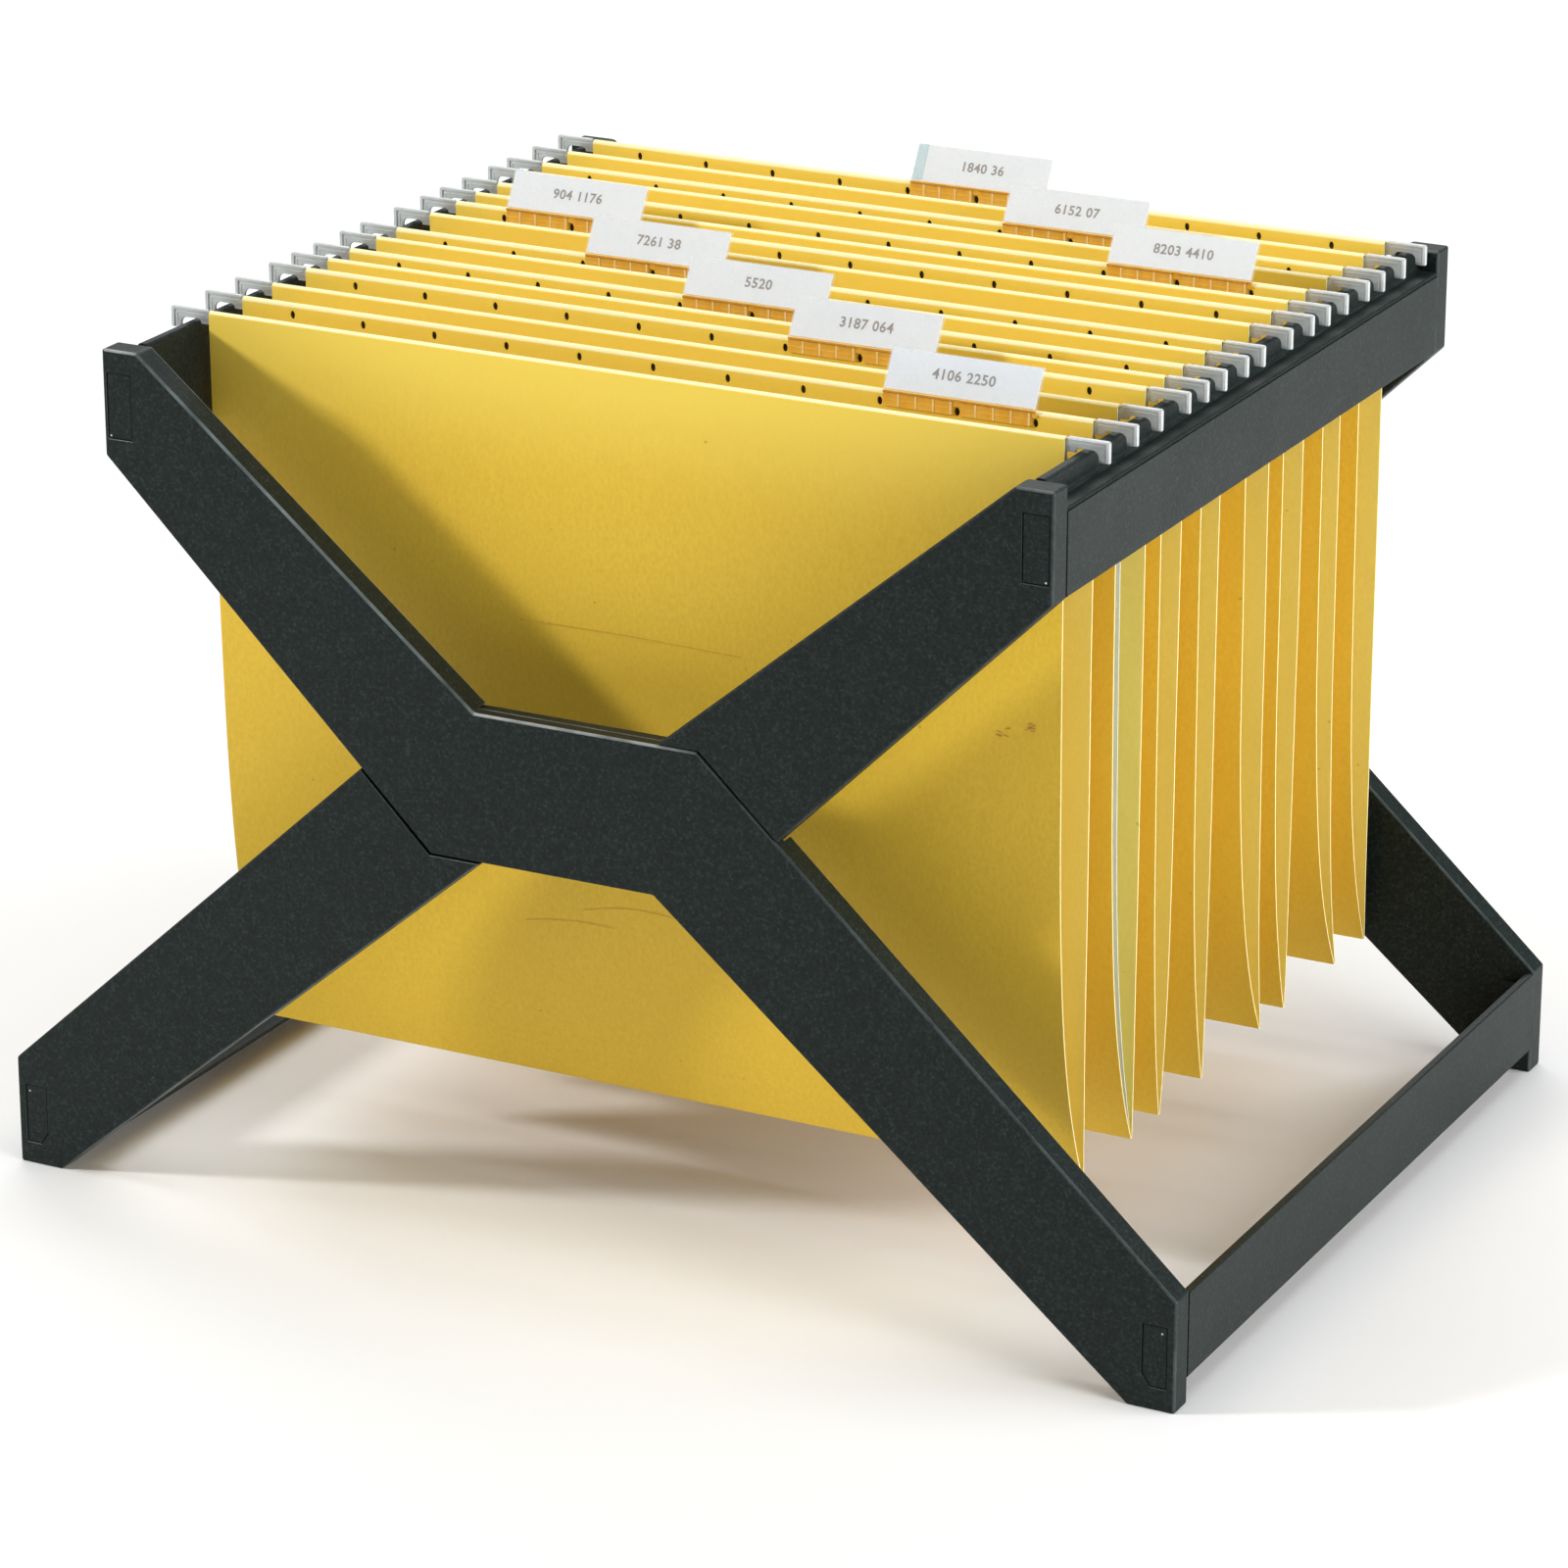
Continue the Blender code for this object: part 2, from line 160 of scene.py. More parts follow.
# ---------------------------------------------------------------- materials
# Lengths and places in the materials are metres.


class Shade:
    """A material's node tree, with short calls to add to it."""

    def __init__(self, name, roughness=0.5, metallic=0.0):
        self.mat = bpy.data.materials.new(name)
        self.mat.use_nodes = True
        self.tree = self.mat.node_tree
        self.shader = self.tree.nodes["Principled BSDF"]
        self.shader.inputs["Roughness"].default_value = roughness
        self.shader.inputs["Metallic"].default_value = metallic
        coords = self.tree.nodes.new("ShaderNodeTexCoord")
        self.coords = coords.outputs["Object"]

    def link(self, a, b):
        self.tree.links.new(a, b)

    def feed(self, socket, value):
        """Link a socket to another node's output, or set its constant."""
        if isinstance(value, bpy.types.NodeSocket):
            self.link(value, socket)
        else:
            socket.default_value = value

    def stretch(self, scale):
        node = self.tree.nodes.new("ShaderNodeMapping")
        node.inputs["Scale"].default_value = scale
        self.link(self.coords, node.inputs["Vector"])
        return node.outputs["Vector"]

    def noise(self, scale, detail=2.0, roughness=0.5, stretch=None):
        node = self.tree.nodes.new("ShaderNodeTexNoise")
        node.inputs["Scale"].default_value = scale
        node.inputs["Detail"].default_value = detail
        node.inputs["Roughness"].default_value = roughness
        self.link(self.stretch(stretch) if stretch else self.coords, node.inputs["Vector"])
        return node.outputs["Fac"]

    def ramp(self, value, *stops):
        """Colours by value; each stop is a place and a colour."""
        node = self.tree.nodes.new("ShaderNodeValToRGB")
        while len(node.color_ramp.elements) < len(stops):
            node.color_ramp.elements.new(0.5)
        for element, (place, colour) in zip(node.color_ramp.elements, stops):
            element.position = place
            element.color = (*colour, 1.0)
        self.link(value, node.inputs["Fac"])
        return node.outputs["Color"]

    def spots(self, value, low, high, most=1.0):
        """A mask: nothing below one value, and its most above another."""
        return self.ramp(value, (low, BLACK), (high, (most, most, most)))

    def mix(self, share, a, b):
        node = self.tree.nodes.new("ShaderNodeMix")
        node.data_type = "RGBA"
        self.feed(node.inputs[0], share)
        for socket, value in ((node.inputs[6], a), (node.inputs[7], b)):
            self.feed(socket, (*value, 1.0) if isinstance(value, tuple) else value)
        return node.outputs[2]

    def grade(self, value, low, high):
        node = self.tree.nodes.new("ShaderNodeMapRange")
        node.inputs["To Min"].default_value = low
        node.inputs["To Max"].default_value = high
        self.link(value, node.inputs["Value"])
        return node.outputs["Result"]

    def bump(self, height, strength, distance, normal=None):
        node = self.tree.nodes.new("ShaderNodeBump")
        node.inputs["Strength"].default_value = strength
        node.inputs["Distance"].default_value = distance
        self.link(height, node.inputs["Height"])
        if normal:
            self.link(normal, node.inputs["Normal"])
        return node.outputs["Normal"]

    def rounded(self, radius):
        node = self.tree.nodes.new("ShaderNodeBevel")
        node.samples = 4
        node.inputs["Radius"].default_value = radius
        return node.outputs["Normal"]

    def maths(self, kind, a, b=0.0):
        """An operation on two values, with its result kept between 0 and 1."""
        node = self.tree.nodes.new("ShaderNodeMath")
        node.operation = kind
        node.use_clamp = True
        self.feed(node.inputs[0], a)
        self.feed(node.inputs[1], b)
        return node.outputs["Value"]

    def parts(self, vector):
        node = self.tree.nodes.new("ShaderNodeSeparateXYZ")
        self.link(vector, node.inputs[0])
        return node.outputs

    def true_normal(self):
        return self.tree.nodes.new("ShaderNodeNewGeometry").outputs["True Normal"]

    def edge_mask(self, normal, gain):
        """1 along edges and 0 on flats: where the rounded normal leaves the face's own."""
        dot = self.tree.nodes.new("ShaderNodeVectorMath")
        dot.operation = "DOT_PRODUCT"
        self.link(normal, dot.inputs[0])
        self.link(self.true_normal(), dot.inputs[1])
        return self.maths("MULTIPLY", self.maths("SUBTRACT", 1.0, dot.outputs["Value"]), gain)

    def bevel_mask(self, gain):
        """1 on the narrow faces between an arm's front or rear and its sides."""
        slant = self.maths("ABSOLUTE", self.parts(self.true_normal())["Y"])
        share = self.maths("MULTIPLY", slant, self.maths("SUBTRACT", 1.0, slant))
        return self.maths("MULTIPLY", share, gain)

    def level_edge(self, normal):
        """1 where an edge faces straight up, and 0 on the arms' slanting edges."""
        side_weight, gain = 2.0, 4.0
        parts = self.parts(normal)
        slope = self.maths("MULTIPLY", self.maths("ABSOLUTE", parts["X"]), side_weight)
        return self.maths("MULTIPLY", self.maths("SUBTRACT", parts["Z"], slope), gain)

    def edge_facing_light(self, normal):
        """1 where an edge faces up or to the right, which is where the painted highlight goes."""
        right_weight, none, full = 1.9, 0.12, 0.42
        parts = self.parts(normal)
        total = self.tree.nodes.new("ShaderNodeMath")
        total.operation = "MULTIPLY_ADD"
        total.inputs[1].default_value = right_weight
        self.link(parts["X"], total.inputs[0])
        self.link(parts["Z"], total.inputs[2])
        node = self.tree.nodes.new("ShaderNodeMapRange")
        node.inputs["From Min"].default_value = none
        node.inputs["From Max"].default_value = full
        self.link(total.outputs["Value"], node.inputs["Value"])
        return node.outputs["Result"]

    def along(self, axis, low, high):
        """0 before one place on an axis and 1 after another."""
        node = self.tree.nodes.new("ShaderNodeMapRange")
        node.interpolation_type = "SMOOTHSTEP"
        node.inputs["From Min"].default_value = low
        node.inputs["From Max"].default_value = high
        self.link(self.parts(self.coords)[axis], node.inputs["Value"])
        return node.outputs["Result"]

    def put(self, name, value):
        self.feed(self.shader.inputs[name], value)


def painted_edge_highlights(s, colour, round_normal):
    """Painted highlights on the arms' edges: patchy, fainter on the right half, brightest where an edge is
    level.
    """
    highlight = s.maths("MAXIMUM", s.edge_mask(round_normal, gain=7.0), s.bevel_mask(gain=14.0))
    highlight = s.maths("MULTIPLY", highlight, s.edge_facing_light(round_normal))
    highlight = s.maths("MULTIPLY", highlight, s.grade(s.noise(70.0, 3.0), -0.25, 1.35))
    right_half = s.maths("MULTIPLY", s.along("X", 0.034, 0.052), 0.70)
    highlight = s.maths("MULTIPLY", highlight, s.maths("SUBTRACT", 1.0, right_half))
    colour = s.mix(highlight, colour, (0.20, 0.24, 0.24))
    level = s.maths("MULTIPLY", highlight, s.level_edge(round_normal))
    return s.mix(level, colour, (0.46, 0.48, 0.47))


def rack_plastic(name, edge_highlights):
    """Charcoal moulded plastic with a fine spark-eroded grain; on the arms, pale painted highlights along
    the edges.
    """
    s = Shade(name)
    grain = s.noise(900.0, 3.0, 0.65)
    cloud = s.noise(30.0, 3.0)
    pits, skin, peaks = (0.0032, 0.0066, 0.0062), (0.0105, 0.0175, 0.0160), (0.030, 0.043, 0.040)
    speck = s.ramp(grain, (0.34, pits), (0.56, skin), (0.72, peaks))
    colour = s.mix(s.grade(cloud, 0.0, 0.25), speck, (0.0115, 0.0170, 0.0158))
    round_normal = s.rounded(0.0005)
    # Pale painted highlights along the arms' edges
    if edge_highlights:
        colour = painted_edge_highlights(s, colour, round_normal)
    s.put("Base Color", colour)
    s.put("Roughness", s.grade(cloud, 0.40, 0.52))
    s.put("Specular IOR Level", 0.17)
    s.put("Normal", s.bump(grain, 0.40, 0.00020, round_normal))
    return s.mat


def card(name, base, deep, worn, painted_top_light):
    """Pressed card: fibres, soft mottling, a few dark specks, and painted light that makes the hems paler
    towards the top.
    """
    s = Shade(name)
    fibre = s.noise(750.0, 5.0, 0.7, stretch=(1.0, 1.0, 0.6))
    mottle = s.noise(22.0, 5.0, 0.62)
    speck = s.noise(300.0, 1.0, 0.4)
    colour = s.mix(s.spots(fibre, 0.36, 0.66), base, deep)
    colour = s.mix(s.spots(mottle, 0.40, 0.70, most=0.5), colour, worn)
    colour = s.mix(s.spots(speck, 0.79, 0.82, most=0.35), colour, (0.30, 0.16, 0.03))
    # Painted light: paler towards the top, for the strong light on the hems
    colour = s.mix(s.maths("MULTIPLY", s.along("Z", 0.262, 0.306), 0.85), colour, painted_top_light)
    s.put("Base Color", colour)
    s.put("Roughness", s.grade(mottle, 0.58, 0.74))
    s.put("Specular IOR Level", 0.50)
    s.put("Normal", s.bump(fibre, 0.35, 0.00018, s.bump(mottle, 0.25, 0.0010)))
    return s.mat


def card_front():
    """The front file's outer face. The files behind it use a copy of this card painted lighter, to stand in
    for the light in the gaps between them.
    """
    return card(
        "card_front",
        base=(0.84, 0.555, 0.036),
        deep=(0.75, 0.475, 0.025),
        worn=(0.79, 0.505, 0.032),
        painted_top_light=(0.92, 0.67, 0.085),
    )


# Painted light: the front file's card painted lighter, for the outer faces of the files behind it in the
# shaded gaps
def card_outer_painted_lighter():
    return card(
        "card_outer_painted_lighter",
        base=(0.96, 0.67, 0.060),
        deep=(0.90, 0.59, 0.042),
        worn=(0.93, 0.62, 0.050),
        painted_top_light=(0.92, 0.67, 0.085),
    )


def card_inner():
    """The paler inside of a file."""
    return card(
        "card_inner",
        base=(0.96, 0.770, 0.185),
        deep=(0.93, 0.72, 0.145),
        worn=(0.95, 0.74, 0.165),
        painted_top_light=(0.95, 0.77, 0.18),
    )


def card_edge_and_lit_crest():
    """The pale cut edges, and the crest of each hem painted pale as a highlight."""
    return card(
        "card_edge_and_lit_crest",
        base=(0.95, 0.84, 0.46),
        deep=(0.90, 0.76, 0.34),
        worn=(0.95, 0.80, 0.38),
        painted_top_light=(0.96, 0.86, 0.46),
    )


def bar_steel():
    """Zinc-bright strip, a little dulled."""
    s = Shade("bar_steel", metallic=0.45)
    brushed = s.noise(600.0, 3.0, 0.6, stretch=(0.08, 1.0, 1.0))
    cloud = s.noise(160.0, 3.0)
    tint = s.mix(s.grade(brushed, 0.0, 1.0), (0.50, 0.54, 0.54), (0.68, 0.71, 0.70))
    s.put("Base Color", s.mix(s.spots(cloud, 0.48, 0.75, most=0.4), tint, (0.38, 0.38, 0.35)))
    s.put("Roughness", s.grade(brushed, 0.34, 0.52))
    s.put("Normal", s.bump(brushed, 0.10, 0.00008, s.rounded(0.00015)))
    return s.mat


def bar_rim_highlight():
    """The raised rims of the hooks, painted brighter than the strip as a highlight."""
    s = Shade("bar_rim_highlight", roughness=0.35, metallic=0.3)
    worn = s.noise(400.0, 3.0)
    s.put("Base Color", s.ramp(worn, (0.3, (0.74, 0.77, 0.78)), (0.7, (0.92, 0.93, 0.93))))
    return s.mat


def tab_amber():
    s = Shade("tab_amber", roughness=0.25)
    wave = s.noise(260.0, 2.0, stretch=(1.0, 1.0, 0.4))
    s.put("Base Color", s.ramp(wave, (0.3, (0.86, 0.47, 0.06)), (0.7, (0.93, 0.57, 0.11))))
    s.put("Specular IOR Level", 0.6)
    s.put("Coat Weight", 0.3)
    return s.mat


# Painted highlight: a paler amber for the tab's ribs, for the light they catch
def tab_rib_highlight():
    s = Shade("tab_rib_highlight", roughness=0.25)
    wave = s.noise(300.0, 2.0)
    s.put("Base Color", s.ramp(wave, (0.3, (0.92, 0.69, 0.30)), (0.7, (0.96, 0.80, 0.44))))
    s.put("Specular IOR Level", 0.6)
    return s.mat


def tab_clear():
    s = Shade("tab_clear")
    wave = s.noise(180.0, 2.0)
    s.put("Base Color", s.ramp(wave, (0.3, (0.86, 0.92, 0.95)), (0.7, (0.94, 0.97, 0.98))))
    s.put("Roughness", s.grade(wave, 0.08, 0.2))
    s.put("Alpha", 0.14)
    s.put("IOR", 1.49)
    return s.mat


def label_paper():
    s = Shade("label_paper", roughness=0.8)
    fibre = s.noise(1300.0, 3.0, 0.6)
    s.put("Base Color", s.ramp(fibre, (0.3, (0.70, 0.74, 0.80)), (0.7, (0.82, 0.85, 0.90))))
    s.put("Normal", s.bump(fibre, 0.12, 0.00005))
    return s.mat


def label_ink():
    s = Shade("label_ink", roughness=0.8)
    patch = s.noise(1600.0, 2.0)
    s.put("Base Color", s.ramp(patch, (0.35, (0.08, 0.055, 0.05)), (0.65, (0.22, 0.16, 0.15))))
    return s.mat


# Painted shade: near-black, for the shaded gap seen through the hem's slots
def slot_painted_shade():
    s = Shade("slot_painted_shade", roughness=0.9)
    patch = s.noise(700.0, 2.0)
    s.put("Base Color", s.ramp(patch, (0.3, (0.012, 0.010, 0.007)), (0.7, (0.03, 0.022, 0.012))))
    return s.mat


def sheet_paper():
    s = Shade("sheet_paper", roughness=0.8)
    fibre = s.noise(1100.0, 3.0, 0.6)
    s.put("Base Color", s.ramp(fibre, (0.3, (0.72, 0.80, 0.77)), (0.7, (0.80, 0.86, 0.83))))
    return s.mat


def mark(name, low, high):
    """A small flat patch of colour, a little uneven."""
    s = Shade(name, roughness=0.8)
    patch = s.noise(900.0, 3.0)
    s.put("Base Color", s.ramp(patch, (0.35, low), (0.65, high)))
    return s.mat


def studio_floor():
    s = Shade("floor", roughness=0.85)
    tone = s.noise(3.0, 2.0)
    s.put("Base Color", s.ramp(tone, (0.3, (0.86, 0.86, 0.855)), (0.7, (0.88, 0.88, 0.875))))
    return s.mat


MATS = {
    "plastic": rack_plastic("rack_plastic", edge_highlights=False),
    "arm_plastic": rack_plastic("arm_plastic", edge_highlights=True),
    "front": card_front(),
    "outer": card_outer_painted_lighter(),
    "inner": card_inner(),
    "edge": card_edge_and_lit_crest(),
    "steel": bar_steel(),
    "steel_rim_highlight": bar_rim_highlight(),
    "groove": mark("bar_groove", (0.20, 0.21, 0.19), (0.34, 0.35, 0.32)),
    "amber": tab_amber(),
    "lit_rib": tab_rib_highlight(),
    "clear": tab_clear(),
    "paper": label_paper(),
    "ink": label_ink(),
    "dark": slot_painted_shade(),
    "sheet": sheet_paper(),
    "fold_band": mark("tab_fold", (0.42, 0.17, 0.05), (0.55, 0.24, 0.07)),
    "score": mark("score_line", (0.60, 0.38, 0.05), (0.70, 0.46, 0.08)),
    "crease": mark("crease", (0.58, 0.35, 0.03), (0.74, 0.47, 0.04)),
    "slip": mark("slip_blue", (0.42, 0.58, 0.66), (0.50, 0.66, 0.73)),
    "stain": mark("stain", (0.42, 0.14, 0.03), (0.58, 0.26, 0.06)),
    "floor": studio_floor(),
}


# ---------------------------------------------------------------- mesh helpers


def arc(centre, radius, start, end, steps):
    """Points on an arc, from one angle to another in degrees."""
    points = []
    for step in range(steps + 1):
        angle = math.radians(start + (end - start) * step / steps)
        points.append((centre[0] + radius * math.cos(angle), centre[1] + radius * math.sin(angle)))
    return points


def add_to_scene(name, data):
    obj = bpy.data.objects.new(name, data)
    bpy.context.scene.collection.objects.link(obj)
    return obj


def set_smooth(mesh, sharp):
    """Smooth shading, with creases where faces meet at more than an angle in degrees."""
    mesh.shade_smooth()
    mesh.set_sharp_from_angle(angle=math.radians(sharp))


def new_object(name, bm, mats, smooth=None, closed=True):
    if closed:
        bmesh.ops.recalc_face_normals(bm, faces=bm.faces)
    mesh = bpy.data.meshes.new(name)
    bm.to_mesh(mesh)
    bm.free()
    for key in mats:
        mesh.materials.append(MATS[key])
    if smooth is not None:
        set_smooth(mesh, smooth)
    return add_to_scene(name, mesh)


def add_prism(bm, outline, low, high, axis, material=0, bevel=0.0):
    """A closed outline in XZ run along Y, or in YZ run along X, added to bm."""
    start = len(bm.verts)
    spots = [(a, low, b) if axis == "Y" else (low, a, b) for a, b in outline]
    face = bm.faces.new([bm.verts.new(Vector(spot) * MM) for spot in spots])
    run = (0.0, high - low, 0.0) if axis == "Y" else (high - low, 0.0, 0.0)
    grown = bmesh.ops.extrude_face_region(bm, geom=[face])
    moved = [part for part in grown["geom"] if isinstance(part, bmesh.types.BMVert)]
    bmesh.ops.translate(bm, verts=moved, vec=Vector(run) * MM)
    bm.verts.ensure_lookup_table()
    # After a bevel in the same mesh this misses part of the new vertices; the hooks' looks rest on that
    verts = set(bm.verts[start:])
    faces = [face for face in bm.faces if face.verts[0] in verts]
    for face in faces:
        face.material_index = material
    if bevel:
        bmesh.ops.recalc_face_normals(bm, faces=faces)
        edges = dict.fromkeys(edge for face in faces for edge in face.edges)
        sharp = [edge for edge in edges if edge.calc_face_angle(0.0) > EASED_ANGLE]
        bmesh.ops.bevel(bm, geom=sharp, offset=bevel * MM, segments=2, profile=0.6, affect="EDGES")


def add_block(bm, low, high, material=0):
    outline = ((low[0], low[2]), (high[0], low[2]), (high[0], high[2]), (low[0], high[2]))
    add_prism(bm, outline, low[1], high[1], "Y", material)


def cut_away(obj, cutter):
    """Cut one object out of another, and leave a plain mesh."""
    step = obj.modifiers.new("cut", "BOOLEAN")
    step.operation = "DIFFERENCE"
    step.solver = "EXACT"
    step.object = cutter
    graph = bpy.context.evaluated_depsgraph_get()
    mesh = bpy.data.meshes.new_from_object(obj.evaluated_get(graph))
    obj.modifiers.clear()
    obj.data = mesh
    bpy.data.objects.remove(cutter, do_unlink=True)


# ---------------------------------------------------------------- rack


def paint(node, material):
    node.data.materials.clear()
    node.data.materials.append(MATS[material])


def make_pips():
    """Moulding pips on the outer faces of the eight arm ends, sunk into them, in the pale bar steel as a
    painted glint.
    """
    bm = bmesh.new()
    flat = Matrix.Diagonal((1, PIP_FLAT, 1, 1))
    size = {"u_segments": 10, "v_segments": 6, "radius": PIP_RADIUS * MM}
    for side in (-1, 1):
        for x, z in PIP_PLACES:
            for face_y in (-ARM_FACE_Y, ARM_FACE_Y):
                place = Matrix.Translation(Vector((side * x, face_y * PIP_SUNK, z)) * MM)
                bmesh.ops.create_uvsphere(bm, matrix=place @ flat, **size)
    return new_object("socket_pips", bm, ["steel"], smooth=60)


# ---------------------------------------------------------------- cards


def hang(share):
    """How far towards the fold a panel has gone, from 0 at the bar to 1 at the fold."""
    straight = 0.12
    return straight * (1.0 - share) + (1.0 - straight) * (1.0 - share) ** 6


def panel_share(z):
    """A height as a share of the panel, from 0 at the fold to 1 at the top of the card."""
    return (z - FOLD_Z) / (CARD_TOP - FOLD_Z)


def panel_points(bar_y, fold_y, side):
    """Points down one panel's middle, from the top of the hem's outer ply to the fold."""
    top_y = bar_y + side * HEM_R
    points = []
    count = 34
    for step in range(count + 1):
        share = 1.0 - (step / count) ** 0.8
        z = FOLD_Z + share * (CREST_Z - FOLD_Z)
        y = top_y + (fold_y + side * FOLD_HALF_GAP - top_y) * hang(panel_share(z))
        points.append((y, z, "panel"))
    return points


def hem_points(bar_y, side):
    """From the free edge of the turned-down ply, up and over the bar."""
    points = []
    for step in range(5):
        z = HEM_LOW + (CREST_Z - HEM_LOW) * step / 5.0
        points.append((bar_y - side * HEM_R, z, "hem"))
    for step in range(8):
        angle = math.pi * (1.0 - step / 8.0)
        points.append((bar_y + side * HEM_R * math.cos(angle), CREST_Z + HEM_R * math.sin(angle), "crest"))
    return points


def card_line(facts):
    """The whole sheet's middle line: front hem, front panel, fold, rear panel, rear hem."""
    front = hem_points(facts["front"], -1) + panel_points(facts["front"], facts["fold"], -1)
    rear = hem_points(facts["rear"], 1) + panel_points(facts["rear"], facts["fold"], 1)
    turn = []
    for step in range(1, 6):
        angle = math.pi * step / 6.0
        y = facts["fold"] - FOLD_HALF_GAP * math.cos(angle)
        turn.append((y, FOLD_Z - FOLD_HALF_GAP * math.sin(angle), "fold"))
    return front + turn + rear[::-1]


def swell(x, z, seed, rear):
    """How far the slack card stands off its line: a slow wave, and a livelier one near the side edges."""
    slack = max(0.0, min(1.0, (HEM_LOW - z) / 60.0)) * max(0.0, min(1.0, (z - FOLD_Z) / 40.0))
    slow = noise.noise(Vector((x * 0.011, z * 0.009, 4.0 * rear)) + seed)
    lively = noise.noise(Vector((z * 0.02, x, 9.0)) + seed)
    edge = (abs(x) / CARD_HALF) ** 6
    return slack * (0.55 * slow + 0.35 * edge * lively)


def card_rows(bm, line, xs, seed):
    """The sheet's two faces, as a row of vertices across each point of its line."""
    outer, inner = [], []
    last = len(line) - 1
    middle = next(i for i, p in enumerate(line) if p[2] == "fold") + 2
    for i, (y, z, _) in enumerate(line):
        before, after = line[max(i - 1, 0)], line[min(i + 1, last)]
        along = Vector((0.0, after[0] - before[0], after[1] - before[1])).normalized()
        out = Vector((0.0, along.z, -along.y))
        row_out, row_in = [], []
        for x in xs:
            point = Vector((x, y + swell(x, z, seed, rear=i > middle), z))
            row_out.append(bm.verts.new((point + out * CARD / 2.0) * MM))
            row_in.append(bm.verts.new((point - out * CARD / 2.0) * MM))
        outer.append(row_out)
        inner.append(row_in)
    return outer, inner


def fill_card(bm, line, outer, inner):
    """Faces between the rows: outer face, inner face, and the pale cut edges and crests; the crests'
    paleness is a painted highlight.
    """
    outer_face, inner_face, edge = range(3)
    last, columns = len(outer) - 1, len(outer[0]) - 1

    def quad(a, b, c, d, material):
        bm.faces.new((a, b, c, d)).material_index = material

    for i in range(last):
        # The top of each crest takes the pale edge card as a painted highlight
        crest = line[i][2] == line[i + 1][2] == "crest" and line[i][1] > CARD_TOP - 1.0
        skin = edge if crest else outer_face
        for j in range(columns):
            quad(outer[i][j], outer[i][j + 1], outer[i + 1][j + 1], outer[i + 1][j], skin)
            quad(inner[i][j], inner[i + 1][j], inner[i + 1][j + 1], inner[i][j + 1], inner_face)
        for j in (0, columns):
            quad(outer[i][j], outer[i + 1][j], inner[i + 1][j], inner[i][j], edge)
    for i in (0, last):
        for j in range(columns):
            quad(outer[i][j], outer[i][j + 1], inner[i][j + 1], inner[i][j], edge)


def slot_cutter(rear_y):
    """Oval plugs where the rear hem's front ply is slotted for the tabs."""
    bm = bmesh.new()
    ply = rear_y - HEM_R
    ahead, behind = 0.6, 0.45
    corners = 12
    for index in SLOT_PLACES:
        x = index * SLOT_PITCH
        outline = []
        for step in range(corners):
            angle = 2.0 * math.pi * step / corners
            z = (SLOT_Z[0] + SLOT_Z[1]) / 2.0 + (SLOT_Z[1] - SLOT_Z[0]) / 2.0 * math.sin(angle)
            outline.append((x + SLOT_HALF * math.cos(angle), z))
        add_prism(bm, outline, ply - ahead, ply + behind, "Y")
    return new_object("slots", bm, [])


def make_card(number, facts):
    """The whole folded card of a file, with its hems turned down and the slots cut."""
    bm = bmesh.new()
    line = card_line(facts)
    columns = 40
    xs = [CARD_HALF * (2.0 * i / columns - 1.0) for i in range(columns + 1)]
    seed = Vector((number * 7.3, number * 3.1, 0.0))
    outer, inner = card_rows(bm, line, xs, seed)
    fill_card(bm, line, outer, inner)
    face = "front" if number == FILES[0] else "outer"
    obj = new_object(f"file_{number}_card", bm, [face, "inner", "edge"], smooth=CARD_SHARP)
    cut_away(obj, slot_cutter(facts["rear"]))
    set_smooth(obj.data, CARD_SHARP)
    return obj


def make_slot_shade(number, facts):
    """A near-black strip behind the hem's slots: painted shade for the gap that shows through them."""
    bm = bmesh.new()
    half, thick, below, above = 2.0, 0.12, 0.8, 0.5
    y = facts["rear"] - HEM_R + CARD / 2.0 + 0.06
    for index in SLOT_PLACES:
        x = index * SLOT_PITCH
        add_block(bm, (x - half, y, SLOT_Z[0] - below), (x + half, y + thick, SLOT_Z[1] + above))
    return new_object(f"file_{number}_painted_slot_shade", bm, ["dark"])


# ---------------------------------------------------------------- bars


def hook_outline():
    """One end of a bar, from under the hem round the notch to the top edge."""
    points = [(HOOK_FROM, BAR_LOW)]
    points += arc((158.0, BAR_LOW + 0.6), 0.6, -90, 0, 3)
    points += arc((159.2, SHOULDER_Z - 0.6), 0.6, 180, 90, 3)
    points += [(162.6, SHOULDER_Z)]
    points += arc((164.2, SHOULDER_Z), 1.6, 170, 95, 5)
    points += arc((168.2, 302.9), 2.3, 88, 5, 6)
    points += [(170.55, 301.7)]
    points += arc((170.95, 301.7), 0.4, 180, 270, 2)
    points += arc((174.0, 301.7), 0.4, -90, 0, 2)
    points += arc((173.8, HOOK_TOP - 0.6), 0.6, 0, 90, 4)
    points += [(160.2, HOOK_TOP), (159.6, HOOK_TOP - 0.6), (159.3, BAR_TOP), (HOOK_FROM, BAR_TOP)]
    return points


def hook_rim():
    """The raised rim along a hook's top edge and down its outer side, which make_bar paints bright as a
    highlight.
    """
    top = HOOK_TOP - 0.1
    points = [(160.0, top), (160.0, top - 0.85), (172.9, top - 0.85), (173.15, top - 1.1)]
    points += [(173.15, 301.6), (174.3, 301.6), (174.3, top - 0.5), (173.8, top)]
    return points


def hook_groove():
    """The dull line that runs inside the rim."""
    top = HOOK_TOP - 1.8
    points = [(160.9, top), (160.9, top - 0.5), (171.7, top - 0.5), (171.9, top - 0.7)]
    points += [(171.9, 302.2), (172.4, 302.2), (172.4, top - 0.3), (172.1, top)]
    return points


